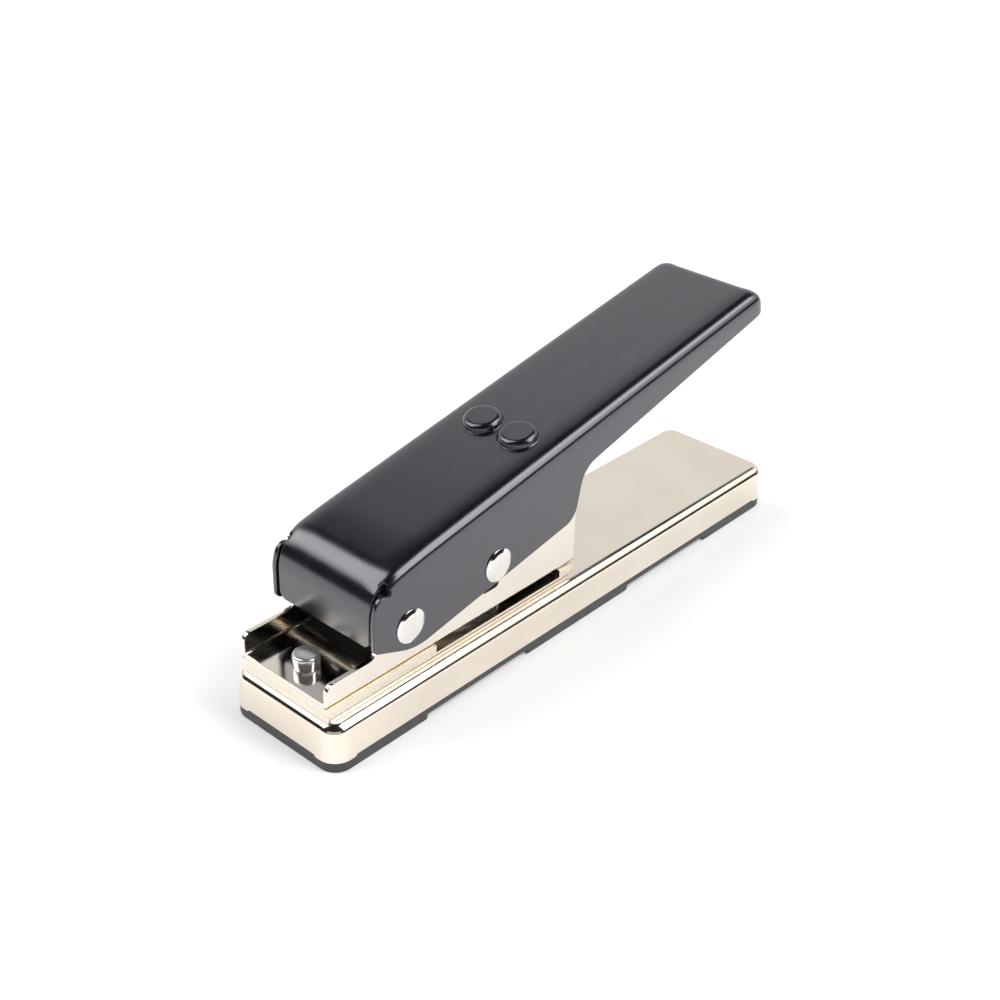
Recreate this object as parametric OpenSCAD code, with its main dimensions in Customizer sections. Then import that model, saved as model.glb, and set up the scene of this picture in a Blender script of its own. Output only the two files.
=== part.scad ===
// Guitar pick punch: a pressed base tray, a die stack, a channel frame and a hinged hand lever.
// The origin is under the middle of the base, +X runs to the rear and +Z is up.

/* [Base tray] */
// Length of the base tray along its lower edge
base_length = 196; // [182:1:222]
// Width of the base tray along its lower edge
base_width = 42; // [41:0.5:50]
// Outward lean of the tray's sides from the top face to the lower edge
base_lean = 0.8; // [0.4:0.1:1.2]
// Height of the base's top face above the table
base_height = 14.4; // [12:0.2:18]
// Corner radius of the base, seen from above
base_corner = 5; // [4:0.5:7]
// Radius of the base's top edge
base_edge = 2.4; // [1.8:0.1:2.8]
// Sheet thickness of the base tray
base_sheet = 1.2; // [0.8:0.1:1.5]
// Height of the skirt's lower edge above the table
skirt_lift = 3.8; // [3.2:0.1:4.6]
// Depth by which the skirt reaches lower at the corners
skirt_corner_drop = 0.6; // [0.4:0.1:0.9]
// Reach of that lower stretch along each side
skirt_corner_reach = 7.5; // [6.5:0.5:11]

/* [Base pad] */
// Step from the tray's outside to the pad's edge
pad_inset = 0.4; // [0.2:0.1:0.8]
// Height of the feet under the pad
foot_height = 1.6; // [1:0.1:2]
// Length of the front foot
front_foot_length = 34; // [28:1:40]
// Start of the middle foot behind the base's front
middle_foot_from_front = 75; // [71:1:81]
// Length of the middle foot
middle_foot_length = 46; // [40:1:52]
// Length of the rear foot
rear_foot_length = 35; // [28:1:40]
// Height of the rim that locates the pad inside the tray
pad_rim_height = 4; // [3:0.5:6]
// Wall of the rim and of the chute
pad_wall = 1.6; // [1.2:0.1:2]
// Gap between the pad and the tray
pad_fit = 0.15; // [0.1:0.05:0.3]

/* [Die stack] */
// Step from the base's front edge to the die plate
stack_from_front = 2; // [1.6:0.1:4]
// Width of the die plate, the spacers and the frame
stack_width = 33.8; // [33:0.2:36]
// Step from the frame's rear end to the die plate's
die_step = 2; // [0.5:0.5:3]
// Thickness of the die plate
die_thickness = 2; // [1.5:0.1:3]
// Height of the card slot
slot_height = 2.4; // [1.6:0.1:3]
// Start of the card slot behind the pivot
slot_behind_pivot = 12.5; // [11.5:0.5:14]
// Length of the strip behind the card slot
rear_strip_length = 6; // [5.5:0.1:7]

/* [Pick] */
// Length of the pick
pick_length = 30; // [28:0.5:32]
// Width of the pick
pick_width = 26; // [24:0.5:27]
// Radius of the pick's tip
pick_tip_radius = 4.5; // [3:0.5:6]
// Radius of the pick's shoulders
pick_shoulder_radius = 9; // [7:0.5:11]
// Reach of the pick's broad end behind the drive pin
pick_back_reach = 13; // [12:0.5:15]
// Gap between the punch and the die plate
die_clearance = 0.12; // [0.1:0.02:0.2]
// Gap between the punch and the frame floor
stripper_clearance = 0.3; // [0.25:0.05:0.5]
// Step from the die's edge to the hole in the base
chute_clearance = 1; // [0.6:0.1:1.4]

/* [Frame] */
// Length of the frame
frame_length = 96.5; // [95.5:0.5:104]
// Sheet thickness of the frame
frame_sheet = 1.5; // [1.2:0.1:1.8]
// Outside radius of the frame's bends
frame_bend = 1.8; // [1.6:0.1:2.4]
// Height of the low front walls above the frame floor
front_wall_height = 6.5; // [5:0.5:8]
// Start of the walls' rise ahead of the pivot
rise_before_pivot = 9; // [8:0.5:10]
// Metal above the drive pin's slots
slot_bridge = 3.4; // [2.5:0.1:5]
// Gap between the drive pin and its slots
slot_clearance = 0.4; // [0.3:0.05:0.6]

/* [Rivets] */
// Diameter of a floor rivet's head
rivet_head_d = 7; // [6:0.1:7.4]
// Height of a floor rivet's head
rivet_head_height = 4.1; // [2:0.1:4.3]
// Diameter of a floor rivet's shank
rivet_shank_d = 3; // [2.4:0.1:3.2]
// Front rivet's place behind the base's front
front_rivet_from_front = 10; // [9:0.5:12]
// Gap between a rivet of a pair and the frame wall
rivet_wall_gap = 0.6; // [0.4:0.1:0.9]
// Gap round every shank and pin that is fixed in a hole
hole_fit = 0.05; // [0.03:0.01:0.08]

/* [Lever] */
// Pivot's height above the frame floor
pivot_above_floor = 12.7; // [11:0.1:14]
// Angle by which the lever stands open
rest_angle = 10.65; // [9:0.05:11]
// Sheet thickness of the lever
lever_sheet = 1.5; // [1.2:0.1:1.8]
// Height of the lever's top face above the pivot
lever_top = 18.3; // [17:0.1:20]
// Depth of the lever's sides below the pivot
lever_below = 8.8; // [8:0.1:9.5]
// Reach of the lever's top ahead of the pivot
lever_front = 9.6; // [9:0.1:11]
// Reach of the lever behind the pivot
lever_rear = 160.5; // [141:0.5:164]
// Radius of the lever's front shoulder
shoulder_radius = 11; // [9:0.5:12]
// Radius of the lever's long top edges
lever_edge = 2.5; // [2.2:0.1:3]
// Corner radius of the lever's rear end, seen from above
lever_corner = 4.5; // [4:0.5:7]
// Start of the knee behind the spring seats
knee_behind_seats = 6.5; // [6:0.5:9]
// Length of the knee
knee_length = 6; // [4:0.5:8]
// Depth of the handle's sides at the knee
handle_depth_knee = 12.8; // [11:0.2:14]
// Depth of the handle's sides at the rear end
handle_depth_rear = 7.4; // [6:0.2:9]
// Height of the front tab's lower edge above the pivot
tab_low = 0.3; // [-1:0.1:2]
// Step from the front tab to the edges of the sides
side_lip = 0.8; // [0.4:0.1:1.2]
// Seam between the front tab and the sides
tab_seam = 0.5; // [0.3:0.1:0.8]

/* [Pins] */
// Diameter of the pivot pin and of the drive pin
pin_d = 6; // [5:0.1:6.4]
// Diameter of the pins' domed heads
pin_head_d = 10; // [9:0.2:11]
// Height of the pins' domed heads
pin_head_height = 1.3; // [1:0.1:1.8]
// Drive pin's distance behind the pivot, with the lever pressed
drive_reach = 33.5; // [33:0.1:35]
// Drive pin's distance below the pivot, with the lever pressed
drive_below = 3.2; // [2.8:0.1:3.6]
// Thickness of the washers between lever and frame
washer_thickness = 0.5; // [0.4:0.05:0.8]
// Diameter of the washers
washer_d = 11; // [10:0.2:12]
// Gap on each side of a washer and under each pin head
side_clearance = 0.1; // [0.08:0.01:0.2]

/* [Punch] */
// Gap between the punch's lower edge and the card slot at rest
punch_retract = 0.5; // [0.3:0.1:0.8]
// Depth of the shallow roof in the punch's lower face
punch_shear = 0.7; // [0.3:0.1:0.9]
// Holder's depth below the drive pin
holder_below = 5.2; // [4.6:0.1:6]
// Holder's height above the drive pin
holder_above = 5.6; // [5:0.1:7]
// Length of the holder
holder_length = 25; // [24:0.5:28]
// Gap between the holder and the frame walls
holder_clearance = 0.4; // [0.3:0.05:0.6]
// Gap round the drive pin in the holder
cross_bore_clearance = 0.4; // [0.3:0.05:0.5]
// Distance between the two punch screws
screw_spacing = 17; // [16:0.5:18]
// Diameter of the punch screws
screw_d = 4; // [3:0.1:4]
// Diameter of the punch screws' heads
screw_head_d = 7; // [6:0.1:7]
// Height of the punch screws' heads
screw_head_height = 3; // [2.4:0.1:3.4]

/* [Springs] */
// Springs' distance from the frame's rear end
spring_from_rear = 10.5; // [10:0.1:12]
// Spring seats' distance behind the pivot, with the lever pressed
seat_reach = 59; // [58:0.2:59.6]
// Step of each spring towards the middle, from halfway to its frame wall
spring_step_in = 1.05; // [0.8:0.05:1.2]
// Outer diameter of a raised spring seat
seat_d = 11; // [10.8:0.1:11.6]
// Diameter of a seat's flat top
seat_top_d = 7.8; // [7:0.1:8.4]
// Height of a seat above the lever
seat_height = 1.8; // [1.5:0.1:2.2]
// Outer diameter of a spring
spring_d = 7.6; // [7.2:0.1:7.8]
// Wire diameter of a spring
wire_d = 1.2; // [0.9:0.1:1.3]
// Turns of a spring
spring_turns = 11; // [9:1:12]
// Gap round a spring in its seat and on its peg
spring_fit = 0.3; // [0.25:0.05:0.4]
// Height of a spring peg above the frame floor
peg_height = 4; // [3:0.5:6]

/* [Hidden] */

$fn = 64;
// Reach of a cutting shape past the face that it cuts
past = 1;
// Points along each rounded corner of an outline
corner_steps = 8;

nickel = [0.87, 0.83, 0.77];
bright_steel = [0.80, 0.80, 0.79];
black_paint = [0.17, 0.17, 0.19];
black_plastic = [0.24, 0.24, 0.25];
spring_steel = [0.55, 0.55, 0.57];

base_front = -base_length / 2;
base_rear = base_length / 2;
stack_front = base_front + stack_from_front;
frame_rear = stack_front + frame_length;
die_rear = frame_rear - die_step;
peg_x = frame_rear - spring_from_rear;
pivot_x = peg_x - seat_reach;
slot_front = pivot_x + slot_behind_pivot;
slot_rear = frame_rear - rear_strip_length;

slot_low = base_height + die_thickness;
floor_low = slot_low + slot_height;
floor_top = floor_low + frame_sheet;
frame_inside = stack_width / 2 - frame_sheet;

pivot_z = floor_top + pivot_above_floor;
lever_inside = stack_width / 2 + washer_thickness + 2 * side_clearance;
lever_outside = lever_inside + lever_sheet;

// The drive pin's place with the lever open, and its stroke down to the pressed lever
drive_x = pivot_x + drive_reach * cos(rest_angle) + drive_below * sin(rest_angle);
drive_z = pivot_z + drive_reach * sin(rest_angle) - drive_below * cos(rest_angle);
stroke = drive_z - (pivot_z - drive_below);
drive_radius = norm([drive_reach, drive_below]);

slot_half_width = pin_d / 2 + slot_clearance;
pin_slot_low = drive_z - stroke - pin_d / 2 - slot_clearance;
pin_slot_top = drive_z + pin_d / 2 + slot_clearance;
pin_slot_x = (drive_x + pivot_x + drive_radius) / 2;
wall_top = pin_slot_top + slot_bridge;

punch_low = floor_low + punch_retract;
holder_low = drive_z - holder_below;
holder_top = drive_z + holder_above;

rivet_tail_height = 1;
rivet_tail_d = 5;
rivet_slot_gap = 1;
front_pair_x = slot_front - rivet_head_d / 2 - rivet_slot_gap;
rear_pair_x = (slot_rear + die_rear) / 2;
rivet_pair_y = frame_inside - rivet_wall_gap - rivet_head_d / 2;

seat_ceiling = lever_top + seat_height - lever_sheet;
seat_bore_d = spring_d + 2 * spring_fit;
spring_y = frame_inside / 2 - spring_step_in;
peg_d = spring_d - 2 * wire_d - 2 * spring_fit;
peg_shoulder = 0.5;
peg_shank_d = peg_d - 2 * peg_shoulder;

function unit(v) = v / norm(v);

// Points of an arc from one angle to another
function arc(centre, radius, from, to) =
    [for (i = [0:corner_steps]) let (a = from + (to - from) * i / corner_steps)
        centre + radius * [cos(a), sin(a)]];

// One corner of an outline, rounded to the radius that its third number gives
function round_corner(before, corner, after) =
    let (
        at = [corner[0], corner[1]],
        arrive = unit(at - [before[0], before[1]]),
        leave = unit([after[0], after[1]] - at),
        turn = atan2(arrive[0] * leave[1] - arrive[1] * leave[0], arrive * leave),
        side = sign(turn),
        radius = corner[2],
        start = at - arrive * radius * tan(abs(turn) / 2),
        centre = start + side * radius * [-arrive[1], arrive[0]],
        from = atan2(start[1] - centre[1], start[0] - centre[0])
    )
    radius == 0 ? [at] : arc(centre, radius, from, from + turn);

// A closed outline from corners given as [x, y, radius]
function rounded(corners) =
    let (count = len(corners))
    [for (i = [0:count - 1])
        each round_corner(corners[(i + count - 1) % count], corners[i], corners[(i + 1) % count])];

// The pick's outline round the drive pin, tip to the front, with all edges moved out by grow
function pick_outline(grow) =
    let (
        tip_x = pick_back_reach - pick_length + pick_tip_radius,
        shoulder_x = pick_back_reach - pick_shoulder_radius,
        shoulder_y = pick_width / 2 - pick_shoulder_radius,
        run = norm([shoulder_x - tip_x, shoulder_y]),
        lean = atan2(shoulder_y, shoulder_x - tip_x),
        turn = lean + acos((pick_tip_radius - pick_shoulder_radius) / run)
    )
    concat(
        arc([shoulder_x, shoulder_y], pick_shoulder_radius + grow, 0, turn),
        arc([tip_x, 0], pick_tip_radius + grow, turn, 360 - turn),
        arc([shoulder_x, -shoulder_y], pick_shoulder_radius + grow, -turn, 0)
    );

module pick_prism(grow, low, top) {
    translate([drive_x, 0, low]) linear_extrude(top - low) polygon(pick_outline(grow));
}

// A shape drawn in the X-Z plane, as thick as given, centred on the middle plane
module across(width) {
    rotate([90, 0, 0]) linear_extrude(width, center = true) children();
}

// A bore or a shaft along Y
module along_y(diameter, length) {
    rotate([90, 0, 0]) cylinder(d = diameter, h = length, center = true);
}

// A pressed block with rounded plan corners and a rounded top edge. Its sizes are those of the top face,
// and the sides lean outward by lean at the low end. The front end stays square where front_corner is 0.
module pressed_block(front, rear, half_width, low, top, corner, edge, front_corner, lean) {
    end_front = front_corner > 0 ? front : rear - 2 * corner;
    end_edge = front_corner > 0 ? edge : 0;
    end_lean = front_corner > 0 ? lean : 0;
    translate([front + front_corner, 0, 0]) rotate([90, 0, 90])
        linear_extrude(rear - front - front_corner - corner)
            polygon(rounded([[-half_width - lean, low, 0], [half_width + lean, low, 0],
                [half_width, top, edge], [-half_width, top, edge]]));
    across(2 * (half_width - corner))
        polygon(rounded([[end_front - end_lean, low, 0], [rear + lean, low, 0], [rear, top, edge],
            [end_front, top, end_edge]]));
    translate([rear - corner, half_width - corner, 0]) pressed_post(low, top, corner, edge, 0, lean);
    translate([rear - corner, corner - half_width, 0]) pressed_post(low, top, corner, edge, -90, lean);
    if (front_corner > 0) {
        translate([front + corner, half_width - corner, 0]) pressed_post(low, top, corner, edge, 90, lean);
        translate([front + corner, corner - half_width, 0]) pressed_post(low, top, corner, edge, 180, lean);
    }
}

// One rounded corner of a pressed block, a quarter turn from the given angle
module pressed_post(low, top, corner, edge, from, lean) {
    rotate([0, 0, from]) rotate_extrude(angle = 90)
        polygon(rounded([[0, low, 0], [corner + lean, low, 0], [corner, top, edge], [0, top, 0]]));
}

// The places of the floor rivets: one at the front and two pairs beside the card slot
rivet_places = [
    [base_front + front_rivet_from_front, 0],
    for (x = [front_pair_x, rear_pair_x], side = [-1, 1]) [x, side * rivet_pair_y]
];

module rivet_bores() {
    for (place = rivet_places)
        translate([place[0], place[1], 0]) cylinder(d = rivet_shank_d + 2 * hole_fit, h = wall_top);
}

module spring_places() {
    for (side = [-1, 1]) translate([peg_x, side * spring_y, 0]) children();
}

// The openings in the skirt's lower edge, along the sides and across the ends
module skirt_cuts(gap) {
    slope = skirt_corner_drop;
    high = skirt_lift - gap;
    for (along = [base_length, base_width]) {
        reach = along / 2 - skirt_corner_reach - gap;
        turned = along == base_length ? 0 : 90;
        rotate([0, 0, turned]) across(base_length + base_width)
            polygon([[-reach - slope, -past], [reach + slope, -past],
                [reach + slope, high - skirt_corner_drop], [reach, high],
                [-reach, high], [-reach - slope, high - skirt_corner_drop]]);
    }
}

// Nickel-plated tray, open below
module base_shell() {
    low = skirt_lift - skirt_corner_drop;
    inner_step = base_lean + base_sheet;
    inner_corner = base_corner - base_sheet;
    color(nickel) difference() {
        pressed_block(base_front + base_lean, base_rear - base_lean, base_width / 2 - base_lean, low,
            base_height, base_corner, base_edge, base_corner, base_lean);
        pressed_block(base_front + inner_step, base_rear - inner_step, base_width / 2 - inner_step, low - past,
            base_height - base_sheet, inner_corner, base_edge - base_sheet, inner_corner, base_lean);
        skirt_cuts(0);
        pick_prism(chute_clearance, 0, base_height + past);
        rivet_bores();
    }
}

// Outline of the pad or of its rim, moved in from the tray's outside
module pad_outline(inset) {
    x = base_length / 2 - inset;
    y = base_width / 2 - inset;
    r = max(base_corner + base_lean - inset, pad_wall / 2);
    polygon(rounded([[-x, -y, r], [x, -y, r], [x, y, r], [-x, y, r]]));
}

// Black moulded underside: a plate with three feet, a locating rim and a chute for the cut picks
module base_pad() {
    plate_top = skirt_lift - skirt_corner_drop - pad_fit;
    rim_inset = base_lean + base_sheet + pad_fit;
    chute_top = base_height - base_sheet - pad_fit;
    feet = [[base_front, front_foot_length], [base_front + middle_foot_from_front, middle_foot_length],
        [base_rear - rear_foot_length, rear_foot_length]];
    color(black_plastic) difference() {
        union() {
            translate([0, 0, foot_height]) linear_extrude(plate_top - foot_height) pad_outline(pad_inset);
            intersection() {
                linear_extrude(skirt_lift) pad_outline(pad_inset);
                translate([0, 0, foot_height]) linear_extrude(skirt_lift) pad_outline(0);
                skirt_cuts(pad_fit);
            }
            translate([0, 0, foot_height]) linear_extrude(skirt_lift - foot_height + pad_rim_height)
                difference() {
                    pad_outline(rim_inset);
                    pad_outline(rim_inset + pad_wall);
                }
            translate([0, 0, foot_height]) linear_extrude(skirt_lift - foot_height) pad_outline(rim_inset);
            pick_prism(chute_clearance + pad_wall, foot_height, chute_top);
            linear_extrude(plate_top) intersection() {
                pad_outline(pad_inset);
                for (foot = feet)
                    translate([foot[0], -base_width / 2]) square([foot[1], base_width]);
            }
        }
        pick_prism(chute_clearance, -past, base_height);
    }
}

// Plate under the card slot, with the pick-shaped die
module die_plate() {
    color(nickel) difference() {
        translate([stack_front, -stack_width / 2, base_height])
            cube([die_rear - stack_front, stack_width, die_thickness]);
        pick_prism(die_clearance, base_height - past, slot_low + past);
        rivet_bores();
    }
}

// Strips that keep the card slot open
module front_spacer() {
    color(nickel) difference() {
        translate([stack_front, -stack_width / 2, slot_low])
            cube([slot_front - stack_front, stack_width, slot_height]);
        rivet_bores();
    }
}

module rear_spacer() {
    color(nickel) difference() {
        translate([slot_rear, -stack_width / 2, slot_low])
            cube([frame_rear - slot_rear, stack_width, slot_height]);
        rivet_bores();
    }
}

// Channel section of the frame, open at the top
module frame_section() {
    outside = stack_width / 2;
    inner_bend = frame_bend - frame_sheet;
    high = wall_top + past;
    difference() {
        polygon(rounded([[-outside, floor_low, frame_bend], [outside, floor_low, frame_bend],
            [outside, wall_top, 0], [-outside, wall_top, 0]]));
        polygon(rounded([[-frame_inside, floor_top, inner_bend], [frame_inside, floor_top, inner_bend],
            [frame_inside, high, 0], [-frame_inside, high, 0]]));
    }
}

// Side view of the frame: low at the front, high round the pivot and the drive pin
module frame_side() {
    low_top = floor_top + front_wall_height;
    rise_x = pivot_x - rise_before_pivot;
    rise_radius = 4;
    front_radius = 2.5;
    rear_radius = 6;
    rise_lean = 2;
    polygon(rounded([[stack_front, floor_low, 0], [frame_rear, floor_low, 0],
        [frame_rear, wall_top, rear_radius], [rise_x + rise_lean, wall_top, rise_radius],
        [rise_x, low_top, rise_radius], [stack_front, low_top, front_radius]]));
}

// Mirror-polished channel that carries the pivot and guides the drive pin
module punch_frame() {
    slot_corner = 1.4;
    color(bright_steel) difference() {
        intersection() {
            translate([stack_front, 0, 0]) rotate([90, 0, 90]) linear_extrude(frame_length) frame_section();
            across(stack_width) frame_side();
        }
        pick_prism(stripper_clearance, floor_low - past, floor_top + past);
        rivet_bores();
        spring_places() translate([0, 0, floor_low - past])
            cylinder(d = peg_shank_d + 2 * hole_fit, h = frame_sheet + 2 * past);
        translate([pivot_x, 0, pivot_z]) along_y(pin_d + 2 * hole_fit, stack_width + past);
        across(stack_width + past)
            polygon(rounded([[pin_slot_x - slot_half_width, pin_slot_low, slot_corner],
                [pin_slot_x + slot_half_width, pin_slot_low, slot_corner],
                [pin_slot_x + slot_half_width, pin_slot_top, slot_corner],
                [pin_slot_x - slot_half_width, pin_slot_top, slot_corner]]));
    }
}

// Low round-head rivets that clamp the stack to the base
module floor_rivets() {
    head_edge = 0.9;
    tail_top = base_height - base_sheet;
    head_top = floor_top + rivet_head_height;
    color(bright_steel) for (place = rivet_places)
        translate([place[0], place[1], 0]) rotate_extrude()
            polygon(rounded([[0, tail_top - rivet_tail_height, 0],
                [rivet_tail_d / 2, tail_top - rivet_tail_height, rivet_tail_height / 2],
                [rivet_tail_d / 2, tail_top, 0], [rivet_shank_d / 2, tail_top, 0],
                [rivet_shank_d / 2, floor_top, 0], [rivet_head_d / 2, floor_top, 0],
                [rivet_head_d / 2, head_top, head_edge], [0, head_top, 0]]));
}

// A pin across the lever with a domed head at each end
module headed_pin() {
    seat = lever_outside + side_clearance;
    head_r = pin_head_d / 2;
    dome_r = (head_r * head_r + pin_head_height * pin_head_height) / (2 * pin_head_height);
    along_y(pin_d, 2 * seat + pin_head_height);
    for (turned = [90, -90])
        rotate([turned, 0, 0]) translate([0, 0, seat]) rotate_extrude()
            intersection() {
                translate([0, pin_head_height - dome_r]) circle(r = dome_r);
                square([head_r, pin_head_height]);
            }
}

// Two thin washers between the lever's sides and the frame's walls
module washer_pair() {
    for (side = [-1, 1])
        translate([0, side * (stack_width / 2 + side_clearance + washer_thickness / 2), 0])
            difference() {
                along_y(washer_d, washer_thickness);
                along_y(pin_d + 2 * hole_fit, washer_thickness + past);
            }
}

module pivot_pin() {
    color(bright_steel) translate([pivot_x, 0, pivot_z]) headed_pin();
}

module pivot_washers() {
    color(bright_steel) translate([pivot_x, 0, pivot_z]) washer_pair();
}

module drive_pin() {
    color(bright_steel) translate([drive_x, 0, drive_z]) headed_pin();
}

module drive_washers() {
    color(bright_steel) translate([drive_x, 0, drive_z]) washer_pair();
}

// Pegs that centre the springs on the frame floor
module spring_pegs() {
    peg_edge = 0.6;
    color(bright_steel) spring_places() rotate_extrude()
        polygon(rounded([[0, floor_low, 0], [peg_shank_d / 2, floor_low, 0], [peg_shank_d / 2, floor_top, 0],
            [peg_d / 2, floor_top, 0], [peg_d / 2, floor_top + peg_height, peg_edge],
            [0, floor_top + peg_height, 0]]));
}

// The lever's own frame: origin at the pivot, X along the lever's top face
module on_lever() {
    translate([pivot_x, 0, pivot_z]) rotate([0, -rest_angle, 0]) children();
}

// The front tab's outer face at a height, upright when the lever stands open
function tab_face(height) = -lever_front - (lever_top - height) * tan(rest_angle);

// Side view of the lever, with the nose, the knee and the tapered handle
module lever_side() {
    nose_low = tab_low - side_lip;
    nose_radius = 2;
    belly_start = 0.3;
    belly_radius = 18;
    knee_radius = 6;
    crook_radius = 8;
    knee_start = seat_reach + knee_behind_seats;
    knee_end = knee_start + knee_length;
    polygon(rounded([[-lever_front - side_lip, lever_top, shoulder_radius],
        [tab_face(nose_low) - side_lip, nose_low, nose_radius], [belly_start, -lever_below, belly_radius],
        [knee_start, -lever_below, knee_radius], [knee_end, lever_top - handle_depth_knee, crook_radius],
        [lever_rear + past, lever_top - handle_depth_rear, 0], [lever_rear + past, lever_top, 0]]));
}

// Side view of the front tab, bent down from the top face
module tab_side() {
    wall = lever_sheet / cos(rest_angle);
    joint = shoulder_radius;
    inner_top = lever_top - lever_sheet;
    polygon(rounded([[tab_face(tab_low), tab_low, 0], [-lever_front, lever_top, shoulder_radius],
        [joint, lever_top, 0], [joint, inner_top, 0],
        [tab_face(inner_top) + wall, inner_top, shoulder_radius - lever_sheet],
        [tab_face(tab_low) + wall, tab_low, 0]]));
}

// Raised seat for a return spring, pressed up out of the lever's top
module seat_boss() {
    skirt_radius = 0.5;
    crown_radius = 0.6;
    translate([0, 0, lever_top - lever_sheet / 2]) rotate_extrude()
        polygon(rounded([[0, 0, 0], [seat_d / 2, 0, 0],
            [seat_d / 2, lever_sheet / 2 + skirt_radius, skirt_radius],
            [seat_top_d / 2, lever_sheet / 2 + seat_height, crown_radius],
            [0, lever_sheet / 2 + seat_height, 0]]));
}

// Front tab with rounded lower corners, parted from the sides by a seam up to the corner notches
module front_tab(notch_x) {
    tab_half = lever_inside - tab_seam;
    tab_corner = 2.5;
    intersection() {
        across(2 * tab_half) tab_side();
        rotate([90, 0, 90]) linear_extrude(2 * lever_rear, center = true)
            polygon(rounded([[-tab_half - past, tab_low, tab_corner + past],
                [tab_half + past, tab_low, tab_corner + past],
                [tab_half + past, lever_top + past, 0], [-tab_half - past, lever_top + past, 0]]));
    }
    intersection() {
        across(2 * lever_inside + lever_sheet) tab_side();
        translate([notch_x, -lever_outside, 0]) cube([lever_rear, 2 * lever_outside, 2 * lever_top]);
    }
}

// Black painted hand lever, one pressed sheet
module lever_shell() {
    notch_d = 2.2;
    notch_x = -lever_front + shoulder_radius / 3;
    shoulder_end = -lever_front + shoulder_radius;
    front = tab_face(-lever_below) - 2 * past;
    low = -lever_below - past;
    color(black_paint) on_lever() difference() {
        union() {
            intersection() {
                pressed_block(front, lever_rear, lever_outside, low, lever_top, lever_corner, lever_edge, 0, 0);
                union() {
                    difference() {
                        across(2 * lever_outside + past) lever_side();
                        pressed_block(front - past, lever_rear - lever_sheet, lever_inside, low - past,
                            lever_top - lever_sheet, lever_corner - lever_sheet,
                            lever_edge - lever_sheet, 0, 0);
                        translate([front - past, -lever_inside, low])
                            cube([shoulder_end - front, 2 * lever_inside, lever_top - low + past]);
                    }
                    front_tab(notch_x);
                }
            }
            for (side = [-1, 1]) translate([seat_reach, side * spring_y, 0]) seat_boss();
        }
        for (side = [-1, 1]) {
            translate([seat_reach, side * spring_y, low])
                cylinder(d = seat_bore_d, h = seat_ceiling - low);
            translate([notch_x, side * (lever_inside - tab_seam / 2), lever_top / 2])
                cylinder(d = notch_d, h = lever_top);
        }
        along_y(pin_d + 2 * hole_fit, 2 * lever_outside + past);
        translate([drive_reach, 0, -drive_below]) along_y(pin_d + 2 * hole_fit, 2 * lever_outside + past);
    }
}

// Pick-shaped blade, with a shallow roof in its lower face so that it cuts little by little
module punch() {
    roof = pick_length;
    color(bright_steel) difference() {
        pick_prism(0, punch_low, holder_low);
        translate([drive_x, 0, 0]) across(pick_width + past)
            polygon([[-roof, punch_low - past], [-roof, punch_low - punch_shear],
                [0, punch_low + punch_shear], [roof, punch_low - punch_shear], [roof, punch_low - past]]);
        screw_places() cylinder(d = screw_d + 2 * hole_fit, h = holder_top);
    }
}

module screw_places() {
    for (side = [-1, 1]) translate([drive_x + side * screw_spacing / 2, 0, 0]) children();
}

// Block that the drive pin pushes down and lifts
module punch_holder() {
    half = frame_inside - holder_clearance;
    edge = 2;
    counterbore = screw_head_height + hole_fit;
    color(bright_steel) difference() {
        across(2 * half) polygon(rounded([[drive_x - holder_length / 2, holder_low, 0],
            [drive_x + holder_length / 2, holder_low, 0], [drive_x + holder_length / 2, holder_top, edge],
            [drive_x - holder_length / 2, holder_top, edge]]));
        translate([drive_x, 0, drive_z]) along_y(pin_d + 2 * cross_bore_clearance, 2 * half + past);
        screw_places() {
            translate([0, 0, punch_low]) cylinder(d = screw_d + 2 * hole_fit, h = holder_top);
            translate([0, 0, holder_top - counterbore])
                cylinder(d = screw_head_d + 2 * hole_fit, h = counterbore + past);
        }
    }
}

// Socket screws that draw the punch up against its holder
module punch_screws() {
    socket_d = screw_head_d / 2;
    socket_depth = screw_head_height / 2;
    screw_end = holder_low - holder_below;
    head_low = holder_top - screw_head_height - hole_fit;
    hexagon = 6;
    color(spring_steel) screw_places() difference() {
        union() {
            translate([0, 0, screw_end]) cylinder(d = screw_d, h = head_low - screw_end + past);
            translate([0, 0, head_low]) cylinder(d = screw_head_d, h = screw_head_height);
        }
        translate([0, 0, head_low + screw_head_height - socket_depth])
            cylinder(d = socket_d, h = socket_depth + past, $fn = hexagon);
    }
}

// A spring's middle line runs from its peg, upright, to its seat, square to the lever
rings_per_turn = 8;
wire_sides = 6;
seat_contact = 0.15;
spring_foot = [peg_x, floor_top + wire_d / 2 + seat_contact];
seat_drop = seat_ceiling - wire_d / 2 - seat_contact;
spring_head = [pivot_x + seat_reach * cos(rest_angle) - seat_drop * sin(rest_angle),
    pivot_z + seat_reach * sin(rest_angle) + seat_drop * cos(rest_angle)];
spring_bow = norm(spring_head - spring_foot) / 3;
foot_guide = spring_foot + spring_bow * [0, 1];
head_guide = spring_head - spring_bow * [-sin(rest_angle), cos(rest_angle)];

function spring_axis(t) =
    pow(1 - t, 3) * spring_foot + 3 * pow(1 - t, 2) * t * foot_guide
    + 3 * (1 - t) * t * t * head_guide + pow(t, 3) * spring_head;

function spring_axis_slope(t) =
    unit(pow(1 - t, 2) * (foot_guide - spring_foot) + 2 * (1 - t) * t * (head_guide - foot_guide)
        + t * t * (spring_head - head_guide));

// Share of the height that a turn has reached: the end turns lie close and the rest are even
closed_pitch = (wire_d + 0.6) / norm(spring_head - spring_foot);
open_pitch = (1 - 2 * closed_pitch) / (spring_turns - 2);
function spring_rise(turn) =
    turn <= 1 ? turn * closed_pitch
    : turn >= spring_turns - 1 ? 1 - (spring_turns - turn) * closed_pitch
    : closed_pitch + (turn - 1) * open_pitch;

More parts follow.
